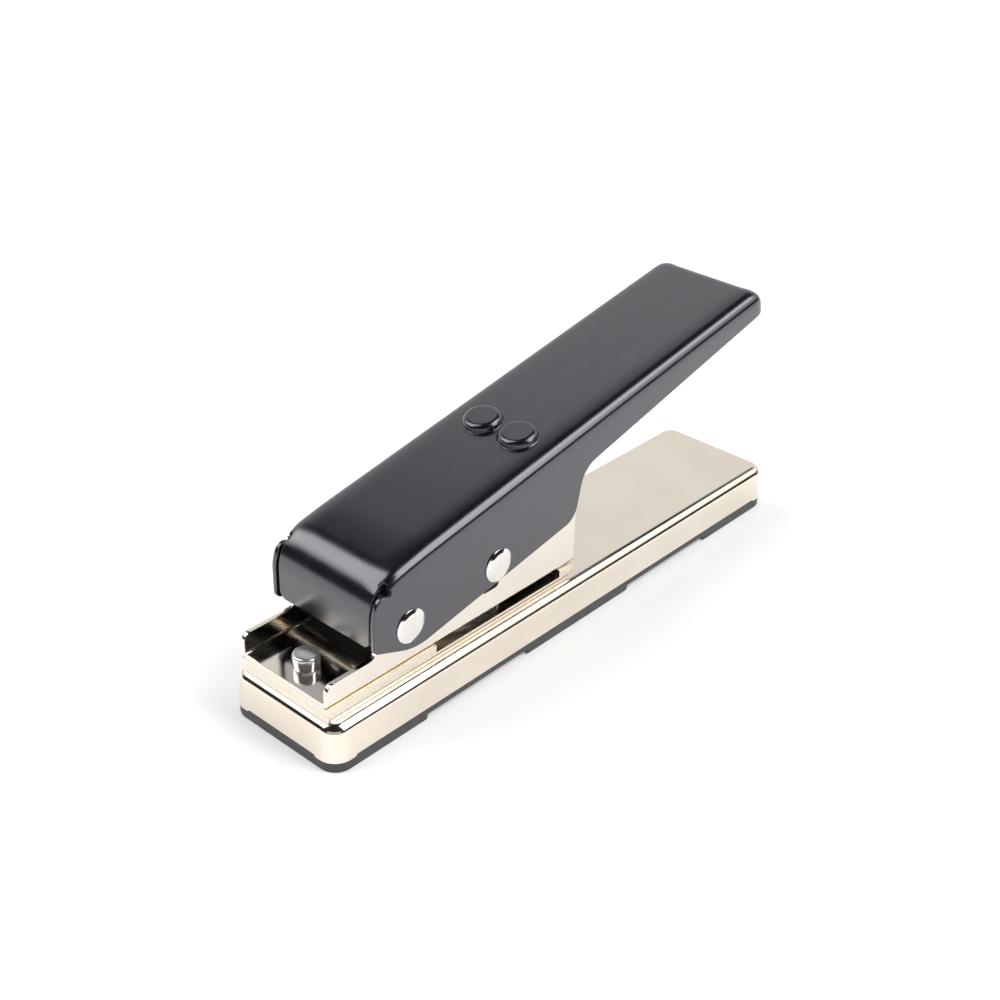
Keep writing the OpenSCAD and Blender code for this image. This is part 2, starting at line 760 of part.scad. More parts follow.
function spring_point(turn) =
    let (
        t = spring_rise(turn),
        middle = spring_axis(t),
        slope = spring_axis_slope(t),
        radius = (spring_d - wire_d) / 2,
        across_x = radius * cos(360 * turn),
        across_y = radius * sin(360 * turn)
    )
    [middle[0] + across_x * slope[1], across_y, middle[1] - across_x * slope[0]];

wire_path = [for (i = [0:spring_turns * rings_per_turn]) spring_point(i / rings_per_turn)];
wire_last = len(wire_path) - 1;

// Least gap between one turn and the next, measured on the wire's points
spring_gap = min([for (i = [0:wire_last], j = [i + rings_per_turn / 2:1:wire_last])
    norm(wire_path[j] - wire_path[i])]) - wire_d;
echo(spring_gap = spring_gap);

// One ring of points round the wire
function wire_ring(i) =
    let (
        along = unit(wire_path[min(i + 1, wire_last)] - wire_path[max(i - 1, 0)]),
        sideways = unit(cross(along, [0, 0, 1])),
        upward = cross(sideways, along)
    )
    [for (k = [0:wire_sides - 1]) let (a = 360 * k / wire_sides)
        wire_path[i] + wire_d / 2 * (cos(a) * sideways + sin(a) * upward)];

wire_points = [for (i = [0:wire_last]) each wire_ring(i)];
wire_faces = concat(
    [for (i = [0:wire_last - 1], k = [0:wire_sides - 1], half = [0, 1])
        let (a = i * wire_sides + k, b = i * wire_sides + (k + 1) % wire_sides)
        half == 0 ? [a, b, b + wire_sides] : [a, b + wire_sides, a + wire_sides]],
    [for (k = [1:wire_sides - 2], end = [0, 1])
        let (first = wire_last * wire_sides)
        end == 0 ? [0, k + 1, k] : [first, first + k, first + k + 1]]
);

// Coil spring that lifts the lever
module return_spring(side) {
    color(spring_steel) translate([0, side * spring_y, 0])
        polyhedron(points = wire_points, faces = wire_faces, convexity = spring_turns);
}

module return_spring_left() {
    return_spring(1);
}

module return_spring_right() {
    return_spring(-1);
}

base_shell();
base_pad();
die_plate();
front_spacer();
rear_spacer();
punch_frame();
floor_rivets();
pivot_pin();
pivot_washers();
spring_pegs();
return_spring_left();
return_spring_right();
lever_shell();
drive_pin();
drive_washers();
punch();
punch_holder();
punch_screws();
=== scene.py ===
# Guitar pick punch: the pieces are made in the order in which the punch is put together.
import math

import bmesh
import bpy
from mathutils import Matrix, Vector


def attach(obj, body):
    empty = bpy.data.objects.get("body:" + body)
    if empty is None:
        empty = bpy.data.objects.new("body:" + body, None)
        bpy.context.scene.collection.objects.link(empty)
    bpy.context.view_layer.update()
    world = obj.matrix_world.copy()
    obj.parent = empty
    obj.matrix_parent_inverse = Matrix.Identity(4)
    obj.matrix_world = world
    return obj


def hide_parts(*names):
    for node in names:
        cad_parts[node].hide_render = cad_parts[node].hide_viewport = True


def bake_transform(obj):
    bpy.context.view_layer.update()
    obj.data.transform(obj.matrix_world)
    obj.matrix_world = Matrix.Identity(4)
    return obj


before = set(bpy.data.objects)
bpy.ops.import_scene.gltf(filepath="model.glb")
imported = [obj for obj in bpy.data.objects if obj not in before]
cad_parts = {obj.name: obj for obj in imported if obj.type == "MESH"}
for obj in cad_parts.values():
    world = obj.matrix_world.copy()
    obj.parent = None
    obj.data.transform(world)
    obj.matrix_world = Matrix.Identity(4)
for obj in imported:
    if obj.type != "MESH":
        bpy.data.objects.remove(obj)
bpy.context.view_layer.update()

# Camera
# It stands ahead of the punch's front corner, on its right, and looks down on it by about thirty degrees.
camera_place = (-0.29636, -0.25055, 0.26401)
camera_right = (0.673176, -0.739111, 0.023431)
camera_up = (0.364758, 0.359448, 0.858923)
camera_back = (-0.643262, -0.569659, 0.511569)
camera_data = bpy.data.cameras.new("photo_camera")
camera_data.sensor_width = 36
camera_data.lens = 55.194
camera_data.clip_start = 0.01
camera_data.clip_end = 50
camera = bpy.data.objects.new("photo_camera", camera_data)
bpy.context.scene.collection.objects.link(camera)
camera.matrix_world = Matrix([
    (camera_right[0], camera_up[0], camera_back[0], camera_place[0]),
    (camera_right[1], camera_up[1], camera_back[1], camera_place[1]),
    (camera_right[2], camera_up[2], camera_back[2], camera_place[2]),
    (0, 0, 0, 1),
])
bpy.context.scene.camera = camera
bpy.context.scene.view_settings.view_transform = "Standard"

# Studio
# A room with dark walls, a white sheet behind the punch, soft lights on its right and left and a dim band on
# the camera's side. A panel is given by its two sides in azimuth and its two ends in elevation, in degrees,
# each followed by half the width of its soft edge, and then by its strength.
studio = bpy.data.worlds.new("studio")
bpy.context.scene.world = studio
studio.use_nodes = True
room = studio.node_tree
room.nodes.clear()


def room_sum(kind, first, second):
    """One sum on two numbers or outputs; a sum on one value gets None as the second."""
    node = room.nodes.new("ShaderNodeMath")
    node.operation = kind
    for place, value in enumerate((first, second)):
        if value is None:
            continue
        if isinstance(value, (int, float)):
            node.inputs[place].default_value = value
        else:
            room.links.new(value, node.inputs[place])
    return node.outputs["Value"]


def room_step(value, start, end):
    """Rises softly from nought to one between two values."""
    node = room.nodes.new("ShaderNodeMapRange")
    node.interpolation_type = "SMOOTHSTEP"
    node.inputs["From Min"].default_value = start
    node.inputs["From Max"].default_value = end
    room.links.new(value, node.inputs["Value"])
    return node.outputs["Result"]


def room_panel(near_side, near_edge, far_side, far_edge, low, low_edge, high, high_edge, strength):
    inside = room_step(azimuth, near_side - near_edge, near_side + near_edge)
    inside = room_sum("MULTIPLY", inside, room_step(azimuth, far_side + far_edge, far_side - far_edge))
    inside = room_sum("MULTIPLY", inside, room_step(elevation, low - low_edge, low + low_edge))
    inside = room_sum("MULTIPLY", inside, room_step(elevation, high + high_edge, high - high_edge))
    return room_sum("MULTIPLY", inside, strength)


looking = room.nodes.new("ShaderNodeTexCoord")
parts = room.nodes.new("ShaderNodeSeparateXYZ")
room.links.new(looking.outputs["Generated"], parts.inputs["Vector"])
elevation = room_sum("DEGREES", room_sum("ARCSINE", parts.outputs["Z"], None), None)
azimuth = room_sum("DEGREES", room_sum("ARCTAN2", parts.outputs["Y"], parts.outputs["X"]), None)
white_sheet = room_panel(-20, 8, 122, 8, -6, 2, 38, 5, 0.93)
raised_sheet = room_panel(32, 5, 62, 14, 36, 3, 48, 7, 1.05)
right_light = room_panel(-80, 5, -13, 5, 40, 5, 68, 4, 4.5)
right_light_foot = room_panel(-80, 5, -53, 4, 20, 4, 50, 5, 4.5)
right_wall = room_panel(-80, 5, -4, 5, 20, 4, 40, 5, 1.4)
left_light = room_panel(99, 6, 152, 6, 29, 5, 74, 5, 3.5)
near_band = room_panel(-178, 6, -100, 6, 7, 3, 22, 3, 0.7)
dark_wall = 0.02
light_tint = (1, 0.995, 0.985, 1)
room_light = white_sheet
for panel in (raised_sheet, right_light, right_light_foot, right_wall):
    room_light = room_sum("MAXIMUM", room_light, panel)
for panel in (left_light, near_band, dark_wall):
    room_light = room_sum("ADD", room_light, panel)
light_path = room.nodes.new("ShaderNodeLightPath")
lit = room.nodes.new("ShaderNodeBackground")
lit.inputs["Color"].default_value = light_tint
room.links.new(room_light, lit.inputs["Strength"])
seen = room.nodes.new("ShaderNodeBackground")
seen.inputs["Color"].default_value = (1, 1, 1, 1)
seen.inputs["Strength"].default_value = 1
room_mix = room.nodes.new("ShaderNodeMixShader")
room.links.new(light_path.outputs["Is Camera Ray"], room_mix.inputs["Fac"])
room.links.new(lit.outputs["Background"], room_mix.inputs[1])
room.links.new(seen.outputs["Background"], room_mix.inputs[2])
room_output = room.nodes.new("ShaderNodeOutputWorld")
room.links.new(room_mix.outputs["Shader"], room_output.inputs["Surface"])

# Table
# A plain white table under the punch. The eye sees it lifted a little and the metal somewhat more, so that both
# find it white, and it keeps the punch's shadow.
table_reach = 6
table_white = (0.93, 0.93, 0.93, 1)
table_lift_seen = 0.28
table_lift_in_metal = 0.42
bpy.ops.object.select_all(action="DESELECT")
bpy.ops.mesh.primitive_plane_add(size=2 * table_reach, location=(0, 0, 0))
table = bpy.context.object
table.name = "white_table"
table_finish = bpy.data.materials.new("white_table")
table_finish.use_nodes = True
table_nodes = table_finish.node_tree.nodes
table_links = table_finish.node_tree.links
table_nodes.clear()
table_paint = table_nodes.new("ShaderNodeBsdfDiffuse")
table_paint.inputs["Color"].default_value = table_white
table_glow = table_nodes.new("ShaderNodeEmission")
table_path = table_nodes.new("ShaderNodeLightPath")
table_seen = table_nodes.new("ShaderNodeMath")
table_seen.operation = "MULTIPLY"
table_seen.inputs[1].default_value = table_lift_seen
table_links.new(table_path.outputs["Is Camera Ray"], table_seen.inputs[0])
table_strength = table_nodes.new("ShaderNodeMath")
table_strength.operation = "MULTIPLY_ADD"
table_strength.inputs[1].default_value = table_lift_in_metal
table_links.new(table_path.outputs["Is Glossy Ray"], table_strength.inputs[0])
table_links.new(table_seen.outputs["Value"], table_strength.inputs[2])
table_links.new(table_strength.outputs["Value"], table_glow.inputs["Strength"])
table_sum = table_nodes.new("ShaderNodeAddShader")
table_links.new(table_paint.outputs["BSDF"], table_sum.inputs[0])
table_links.new(table_glow.outputs["Emission"], table_sum.inputs[1])
table_output = table_nodes.new("ShaderNodeOutputMaterial")
table_links.new(table_sum.outputs["Shader"], table_output.inputs["Surface"])
table.data.materials.append(table_finish)

# Base tray
# A tray pressed from steel sheet and nickel plated, open below. Its skirt reaches a little lower at the
# corners, and the stack above is riveted to its top, over the opening that lets the cut picks fall. Sizes
# are in millimetres, and a hair is the slack in finding a corner by its place.
MM = 0.001
hair = 0.01


def open_piece(piece):
    bpy.ops.object.select_all(action="DESELECT")
    piece.select_set(True)
    bpy.context.view_layer.objects.active = piece
    bpy.ops.object.mode_set(mode="EDIT")


def close_piece():
    bpy.ops.object.mode_set(mode="OBJECT")


def select_where(piece, kind, wanted):
    """Selects the vertices, edges or faces that pass a test."""
    bpy.ops.mesh.select_mode(type=kind)
    bpy.ops.mesh.select_all(action="DESELECT")
    mesh = bmesh.from_edit_mesh(piece.data)
    mesh.normal_update()
    for part in {"VERT": mesh.verts, "EDGE": mesh.edges, "FACE": mesh.faces}[kind]:
        if wanted(part):
            part.select_set(True)
    mesh.select_flush_mode()
    bmesh.update_edit_mesh(piece.data)


def block(name, low, high):
    """A block between two corners, in millimetres."""
    bpy.ops.object.select_all(action="DESELECT")
    middle = [(a + b) / 2 * MM for a, b in zip(low, high)]
    size = [(b - a) * MM for a, b in zip(low, high)]
    bpy.ops.mesh.primitive_cube_add(size=1, location=middle, scale=size)
    piece = bpy.context.object
    piece.name = name
    bpy.ops.object.transform_apply(location=True, rotation=True, scale=True)
    return piece


def round_edges(piece, wanted, width, steps, profile=0.5):
    open_piece(piece)
    select_where(piece, "EDGE", wanted)
    bpy.ops.mesh.bevel(offset=width * MM, offset_type="OFFSET", segments=steps, profile=profile,
        affect="EDGES")
    close_piece()


def upright(edge):
    a, b = (corner.co for corner in edge.verts)
    return (a - b).xy.length < 1e-7 < abs(a.z - b.z)


def bisect_at(point, normal):
    """Cuts new edges where a plane crosses the piece that is open."""
    bpy.ops.mesh.select_mode(type="FACE")
    bpy.ops.mesh.select_all(action="SELECT")
    bpy.ops.mesh.bisect(plane_co=Vector(point) * MM, plane_no=normal)


def modify(piece, kind, **settings):
    """Puts a modifier on a piece and applies it."""
    bpy.ops.object.select_all(action="DESELECT")
    piece.select_set(True)
    bpy.context.view_layer.objects.active = piece
    modifier = piece.modifiers.new(kind.lower(), kind)
    for name, value in settings.items():
        setattr(modifier, name, value)
    bpy.ops.object.modifier_apply(modifier=modifier.name)


def combine(piece, tool, operation):
    """Joins, cuts or trims a piece with another shape, which is then removed."""
    modify(piece, "BOOLEAN", operation=operation, object=tool, solver="EXACT")
    bpy.data.objects.remove(tool)


def soften(piece, width, steps, sharpest=35):
    """Rounds the sharp edges that are left, and shades the rest smooth."""
    open_piece(piece)
    bpy.ops.mesh.select_all(action="SELECT")
    bpy.ops.mesh.remove_doubles(threshold=hair * MM)
    bpy.ops.mesh.dissolve_limited(angle_limit=math.radians(0.2))
    close_piece()
    modify(piece, "BEVEL", width=width * MM, segments=steps, limit_method="ANGLE",
        angle_limit=math.radians(sharpest), offset_type="OFFSET", use_clamp_overlap=False, loop_slide=False)
    bpy.ops.object.shade_smooth_by_angle(angle=math.radians(sharpest))
    modify(piece, "WEIGHTED_NORMAL", keep_sharp=True, weight=80)


def drawn(name, points, closed=True):
    """A line drawn point by point from one vertex, in millimetres, and filled where it is closed."""
    bpy.ops.object.select_all(action="DESELECT")
    bpy.ops.mesh.primitive_plane_add(size=MM, location=(0, 0, 0))
    piece = bpy.context.object
    piece.name = name
    bpy.ops.object.mode_set(mode="EDIT")
    bpy.ops.mesh.select_mode(type="VERT")
    bpy.ops.mesh.select_all(action="SELECT")
    bpy.ops.mesh.merge(type="CENTER")
    bpy.ops.transform.translate(value=Vector(points[0]) * MM)
    for before, after in zip(points, points[1:]):
        step = (Vector(after) - Vector(before)) * MM
        bpy.ops.mesh.extrude_region_move(TRANSFORM_OT_translate={"value": step})
    if closed:
        bpy.ops.mesh.select_all(action="SELECT")
        bpy.ops.mesh.edge_face_add()
    bpy.ops.object.mode_set(mode="OBJECT")
    return piece


def prism(name, points, reach):
    """A closed outline drawn and pulled out along a vector, in millimetres."""
    piece = drawn(name, points)
    open_piece(piece)
    bpy.ops.mesh.select_all(action="SELECT")
    bpy.ops.mesh.extrude_region_move(TRANSFORM_OT_translate={"value": Vector(reach) * MM})
    bpy.ops.mesh.select_all(action="SELECT")
    bpy.ops.mesh.normals_make_consistent(inside=False)
    close_piece()
    return piece


drive_x = -35.487


def pick_prism(name, grow, low, top):
    """The pick's outline, tip to the front, moved out by a gap and pulled up between two heights."""
    length = 30
    width = 26
    tip_r = 4.5
    wing_r = 9
    back = 13
    steps = 16
    tip_x = back - length + tip_r
    wing_x = back - wing_r
    wing_y = width / 2 - wing_r
    run = math.hypot(wing_x - tip_x, wing_y)
    turn = math.atan2(wing_y, wing_x - tip_x) + math.acos((tip_r - wing_r) / run)
    points = []
    for centre, radius, start, end in (
            ((wing_x, wing_y), wing_r, 0, turn),
            ((tip_x, 0), tip_r, turn, 2 * math.pi - turn),
            ((wing_x, -wing_y), wing_r, -turn, 0)):
        for i in range(steps + 1):
            a = start + (end - start) * i / steps
            x = drive_x + centre[0] + (radius + grow) * math.cos(a)
            points.append((x, centre[1] + (radius + grow) * math.sin(a), low))
    points.pop()
    return prism(name, points, (0, 0, top - low))


def rivet_bores(low, top):
    """Five shanks to cut the rivet holes with, between two heights."""
    bpy.ops.object.select_all(action="DESELECT")
    shanks = []
    for x, y in rivet_places:
        bpy.ops.mesh.primitive_cylinder_add(vertices=32, radius=rivet_bore_r * MM, depth=(top - low) * MM,
            location=(x * MM, y * MM, (low + top) / 2 * MM))
        shanks.append(bpy.context.object)
    for shank in shanks:
        shank.select_set(True)
    bpy.ops.object.join()
    bpy.ops.object.transform_apply(location=True, rotation=True, scale=True)
    return bpy.context.object


rivet_places = ((-88, 0), (-61, -11.3), (-61, 11.3), (-3.5, -11.3), (-3.5, 11.3))
rivet_bore_r = 1.55
chute_gap = 1
tray_half_length = 97.2
tray_half_width = 20.2
tray_lean = 0.8
tray_corner = 5
tray_edge = 2.7
tray_edge_profile = 0.48
tray_top = 14.4
tray_sheet = 1.2
skirt_low = 3.2
skirt_rise = 0.6
skirt_corner = 6.7
tray_cut = (10, 20)
tray = block("base_tray", (-tray_half_length, -tray_half_width, skirt_low),
    (tray_half_length, tray_half_width, tray_top))
round_edges(tray, upright, tray_corner, 14)


def tray_rim(edge):
    return min(corner.co.z for corner in edge.verts) > (tray_top - hair) * MM


round_edges(tray, tray_rim, tray_edge, 12, tray_edge_profile)
open_piece(tray)
for half, normal in ((tray_half_length, Vector((1, 0, 0))), (tray_half_width, Vector((0, 1, 0)))):
    for inward in (skirt_corner, skirt_corner + skirt_rise):
        for side in (-1, 1):
            bisect_at(side * (half - inward) * normal, normal)
reach_x = tray_half_length - skirt_corner - skirt_rise + hair
reach_y = tray_half_width - skirt_corner - skirt_rise + hair


def raised_skirt(corner):
    x, y, z = corner.co / MM
    along = abs(x) < reach_x and abs(y) > tray_half_width - hair
    across = abs(y) < reach_y and abs(x) > tray_half_length - hair
    return z < skirt_low + hair and (along or across)


def outward(corner):
    """The way out of the tray, square to its outline."""
    x, y = corner.co.xy / MM
    core_x = min(abs(x), tray_half_length - tray_corner)
    core_y = min(abs(y), tray_half_width - tray_corner)
    return Vector((x - math.copysign(core_x, x), y - math.copysign(core_y, y), 0)).normalized()


select_where(tray, "FACE", lambda face: face.normal.z < -0.9)
bpy.ops.mesh.delete(type="FACE")
select_where(tray, "VERT", raised_skirt)
bpy.ops.transform.translate(value=(0, 0, skirt_rise * MM))
tray_skin = bmesh.from_edit_mesh(tray.data)
for corner in tray_skin.verts:
    depth = (tray_top * MM - corner.co.z) / (tray_top - skirt_low)
    corner.co += tray_lean * depth * outward(corner)
bmesh.update_edit_mesh(tray.data)
close_piece()
modify(tray, "SOLIDIFY", thickness=tray_sheet * MM, offset=-1, use_even_offset=True)
combine(tray, pick_prism("chute_hole", chute_gap, *tray_cut), "DIFFERENCE")
combine(tray, rivet_bores(*tray_cut), "DIFFERENCE")
soften(tray, 0.18, 2)


def finish(name, **plain):
    """A new material; the plain values go straight onto its shader."""
    material = bpy.data.materials.new(name)
    material.use_nodes = True
    shader = material.node_tree.nodes["Principled BSDF"]
    for socket, value in plain.items():
        shader.inputs[socket.replace("_", " ")].default_value = value
    return material


def clouds(material, scale, detail):
    """Soft noise on the piece's own coordinates."""
    nodes = material.node_tree.nodes
    coordinates = nodes.new("ShaderNodeTexCoord")
    noise = nodes.new("ShaderNodeTexNoise")
    noise.inputs["Scale"].default_value = scale
    noise.inputs["Detail"].default_value = detail
    material.node_tree.links.new(coordinates.outputs["Object"], noise.inputs["Vector"])
    return noise.outputs["Fac"]


def vary_colour(material, scale, first, second):
    """Lets the colour drift between two in soft clouds."""
    ramp_ends = (0.32, 0.68)
    nodes = material.node_tree.nodes
    ramp = nodes.new("ShaderNodeValToRGB")
    for stop, position, colour in zip(ramp.color_ramp.elements, ramp_ends, (first, second)):
        stop.position = position
        stop.color = (*colour, 1)
    links = material.node_tree.links
    links.new(clouds(material, scale, 3), ramp.inputs["Fac"])
    links.new(ramp.outputs["Color"], nodes["Principled BSDF"].inputs["Base Color"])


def vary_roughness(material, scale, low, high):
    """Lets the roughness drift between two values in soft clouds."""
    nodes = material.node_tree.nodes
    spread = nodes.new("ShaderNodeMapRange")
    spread.inputs["From Min"].default_value = 0.3
    spread.inputs["From Max"].default_value = 0.7
    spread.inputs["To Min"].default_value = low
    spread.inputs["To Max"].default_value = high
    links = material.node_tree.links
    links.new(clouds(material, scale, 4), spread.inputs["Value"])
    links.new(spread.outputs["Result"], nodes["Principled BSDF"].inputs["Roughness"])


def add_grain(material, scale, height):
    """A fine uneven surface; its height is in metres."""
    nodes = material.node_tree.nodes
    bump = nodes.new("ShaderNodeBump")
    bump.inputs["Strength"].default_value = 1
    bump.inputs["Distance"].default_value = height
    links = material.node_tree.links
    links.new(clouds(material, scale, 2), bump.inputs["Height"])
    links.new(bump.outputs["Normal"], nodes["Principled BSDF"].inputs["Normal"])


tray_nickel = finish("tray_nickel", Metallic=1.0)
vary_colour(tray_nickel, 45, (0.74, 0.67, 0.58), (0.78, 0.715, 0.63))
vary_roughness(tray_nickel, 120, 0.12, 0.145)
add_grain(tray_nickel, 90, 0.000001)
tray.data.materials.append(tray_nickel)
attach(tray, "base")
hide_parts("base_shell")

# Base underside
# A black plastic moulding pressed into the tray from below, with three feet and a chute under the die.
pad_inset = 0.3
pad_top = 3.65
pad_drop = 0.6
foot_height = 1.6
foot_draft = 0.3
foot_gaps = ((-64, -23), (23, 63))
pad_corner_gap = 0.15
rim_half_length = 95.85
rim_half_width = 18.85
rim_corner = 3.6
rim_low = 2.0
rim_top = 7.8
rim_wall = 1.6
rim_floor = 3.8
rim_cut_top = 9
chute_wall = 1.6
chute_low = 2.2
chute_top = 13.05
chute_cut = (-1, 15)
pad_half_length = tray_half_length + tray_lean - pad_inset
pad_half_width = tray_half_width + tray_lean - pad_inset
pad = block("base_underside", (-pad_half_length, -pad_half_width, 0),
    (pad_half_length, pad_half_width, pad_top))
round_edges(pad, upright, tray_corner + tray_lean - pad_inset, 12)
open_piece(pad)
for start, end in foot_gaps:
    for x in (start, start + foot_draft, end - foot_draft, end):
        bisect_at((x, 0, 0), (1, 0, 0))
pad_corner_x = tray_half_length - skirt_corner - pad_corner_gap
pad_corner_y = tray_half_width - skirt_corner - pad_corner_gap
for half, normal in ((pad_corner_x, Vector((1, 0, 0))), (pad_corner_y, Vector((0, 1, 0)))):
    for out in (half, half - pad_drop):
        for side in (-1, 1):
            bisect_at(side * out * normal, normal)


def foot_gap(corner):
    x = corner.co.x / MM
    between = any(start + foot_draft - hair < x < end - foot_draft + hair for start, end in foot_gaps)
    return corner.co.z / MM < hair and between


def pad_corner(corner):
    x, y, z = corner.co / MM
    return z > pad_top - hair and abs(x) > pad_corner_x - hair and abs(y) > pad_corner_y - hair


select_where(pad, "VERT", foot_gap)
bpy.ops.transform.translate(value=(0, 0, foot_height * MM))
select_where(pad, "VERT", pad_corner)
bpy.ops.transform.translate(value=(0, 0, -pad_drop * MM))
close_piece()
rim = block("pad_rim", (-rim_half_length, -rim_half_width, rim_low),
    (rim_half_length, rim_half_width, rim_top))
round_edges(rim, upright, rim_corner, 10)
hollow_half_length = rim_half_length - rim_wall
hollow_half_width = rim_half_width - rim_wall
hollow = block("pad_rim_hollow", (-hollow_half_length, -hollow_half_width, rim_floor),
    (hollow_half_length, hollow_half_width, rim_cut_top))
round_edges(hollow, upright, rim_corner - rim_wall, 10)
combine(rim, hollow, "DIFFERENCE")
combine(pad, rim, "UNION")
combine(pad, pick_prism("chute_wall", chute_gap + chute_wall, chute_low, chute_top), "UNION")
combine(pad, pick_prism("chute_bore", chute_gap, *chute_cut), "DIFFERENCE")
soften(pad, 0.25, 2)
pad_plastic = finish("pad_plastic", IOR=1.5)
vary_colour(pad_plastic, 300, (0.052, 0.052, 0.055), (0.07, 0.07, 0.074))
vary_roughness(pad_plastic, 900, 0.42, 0.55)
add_grain(pad_plastic, 2600, 0.00001)
pad.data.materials.append(pad_plastic)
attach(pad, "base")
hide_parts("base_pad")

# Die plate and strips
# A nickel-plated steel plate with the pick-shaped die, and two strips on it that leave the card slot open
# between them. All three are clamped under the frame by the rivets.
stack_half = 16.9
stack_front = -96
die_top = 16.4
die_gap = 0.12
strip_top = 18.8
cut_spare = 1
stack_nickel = finish("stack_nickel", Metallic=1.0)
vary_colour(stack_nickel, 60, (0.755, 0.69, 0.595), (0.79, 0.73, 0.64))
vary_roughness(stack_nickel, 200, 0.12, 0.2)
add_grain(stack_nickel, 160, 0.000002)
for name, front, rear, low, top, node in (
        ("die_plate_finished", stack_front, -1.5, tray_top, die_top, "die_plate"),
        ("front_strip", stack_front, -56.5, die_top, strip_top, "front_spacer"),
        ("rear_strip", -5.5, 0.5, die_top, strip_top, "rear_spacer")):
    plate = block(name, (front, -stack_half, low), (rear, stack_half, top))
    if node == "die_plate":
        combine(plate, pick_prism("die_hole", die_gap, low - cut_spare, top + cut_spare), "DIFFERENCE")
    combine(plate, rivet_bores(low - cut_spare, top + cut_spare), "DIFFERENCE")
    soften(plate, 0.22, 2)
    plate.data.materials.append(stack_nickel)
    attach(plate, "base")
    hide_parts(node)

# Punch frame
# A channel bent from polished nickel-plated sheet. Its walls are low at the front and rise to carry the
# pivot; slots in them guide the drive pin, and its floor strips the card off the punch.
frame_rear = 0.5
frame_sheet = 1.5
frame_bend = 2.2
frame_spare = 2
floor_low = strip_top
floor_top = floor_low + frame_sheet
floor_cut = (17, 22)
stripper_gap = 0.3
wall_top = 42.85
wall_spare = 5
low_wall = 26.2
rise_foot = -78
rise_head = -76
slot_front = -38.823
slot_rear = -32.023
slot_low = 26.4
slot_top = 39.45
slot_round = 1.4
cut_half = 20
channel = block("punch_frame_finished", (stack_front - frame_spare, -stack_half, floor_low),
    (frame_rear + frame_spare, stack_half, wall_top + wall_spare))


def floor_bend(edge):
    a, b = (corner.co for corner in edge.verts)
    return max(a.z, b.z) < (floor_low + hair) * MM and a.y * b.y > 0


round_edges(channel, floor_bend, frame_bend, 8)
open_piece(channel)
select_where(channel, "FACE", lambda face: face.normal.z > 0.9 or abs(face.normal.x) > 0.9)
bpy.ops.mesh.delete(type="FACE")
close_piece()
modify(channel, "SOLIDIFY", thickness=frame_sheet * MM, offset=-1, use_even_offset=True)


def corner_arc(before, corner, after, steps):
    """The points of one rounded corner; its third number is the radius."""
    at = Vector(corner[:2])
    arrive = (at - Vector(before[:2])).normalized()
    leave = (Vector(after[:2]) - at).normalized()
    radius = corner[2]
    if radius == 0:
        return [at]
    turn = math.atan2(arrive.x * leave.y - arrive.y * leave.x, arrive.dot(leave))
    side = math.copysign(1, turn)
    start = at - arrive * radius * math.tan(abs(turn) / 2)
    centre = start + side * radius * Vector((-arrive.y, arrive.x))
    arm = start - centre
    return [centre + Matrix.Rotation(turn * i / steps, 2) @ arm for i in range(steps + 1)]


def rounded(corners, steps=12):
    """A closed outline with its corners rounded."""
    count = len(corners)
    points = []
    for i in range(count):
        points += corner_arc(corners[i - 1], corners[i], corners[(i + 1) % count], steps)
    return points


def pulled_across(name, outline):
    """An outline seen from the side, pulled right across the punch."""
    return prism(name, [(point.x, -cut_half, point.y) for point in outline], (0, 2 * cut_half, 0))


wall_outline = rounded([
    (stack_front, floor_low - frame_spare, 0),
    (frame_rear, floor_low - frame_spare, 0),
    (frame_rear, wall_top, 6),
    (rise_head, wall_top, 4),
    (rise_foot, low_wall, 4),
    (stack_front, low_wall, 2.5),
])
slot_outline = rounded([
    (slot_front, slot_low, slot_round),
    (slot_rear, slot_low, slot_round),
    (slot_rear, slot_top, slot_round),
    (slot_front, slot_top, slot_round),
], 6)
combine(channel, pulled_across("wall_outline", wall_outline), "INTERSECT")
combine(channel, pulled_across("pin_slots", slot_outline), "DIFFERENCE")
combine(channel, pick_prism("stripper_hole", stripper_gap, *floor_cut), "DIFFERENCE")
combine(channel, rivet_bores(*floor_cut), "DIFFERENCE")
soften(channel, 0.15, 2)
frame_nickel = finish("frame_nickel", Metallic=1.0)
vary_colour(frame_nickel, 50, (0.765, 0.71, 0.63), (0.80, 0.75, 0.67))
vary_roughness(frame_nickel, 150, 0.08, 0.14)
add_grain(frame_nickel, 70, 0.000002)
channel.data.materials.append(frame_nickel)
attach(channel, "base")
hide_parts("punch_frame")

# Floor rivets
# Five low round-head steel rivets clamp the frame, the strips and the die plate to the tray.


def turned(name, profile, steps=48):
    """A round piece: a line of radius and height spun about the upright axis, in millimetres."""
    piece = drawn(name, [(radius, 0, height) for radius, height in profile], closed=False)
    modify(piece, "SCREW", axis="Z", angle=2 * math.pi, steps=steps, render_steps=steps)
    open_piece(piece)
    bpy.ops.mesh.select_all(action="SELECT")
    bpy.ops.mesh.remove_doubles(threshold=0.001 * MM)
    bpy.ops.mesh.normals_make_consistent(inside=False)
    close_piece()
    bpy.ops.object.shade_smooth_by_angle(angle=math.radians(38))
    return piece


def profile_of(corners, steps=5):
    """A profile from axis to axis; each corner is given by its radius, its height and its rounding."""
    points = [Vector(corners[0][:2])]
    for i in range(1, len(corners) - 1):
        points += corner_arc(corners[i - 1], corners[i], corners[i + 1], steps)
    return points + [Vector(corners[-1][:2])]


def moved(piece, offset, turn=0):
    """Turns a piece about X and moves it, in degrees and millimetres, and fixes its place in its mesh."""
    bpy.ops.object.select_all(action="DESELECT")
    piece.select_set(True)
    bpy.context.view_layer.objects.active = piece
    piece.rotation_euler = (math.radians(turn), 0, 0)
    piece.location = Vector(offset) * MM
    bpy.ops.object.transform_apply(location=True, rotation=True, scale=True)
    return piece


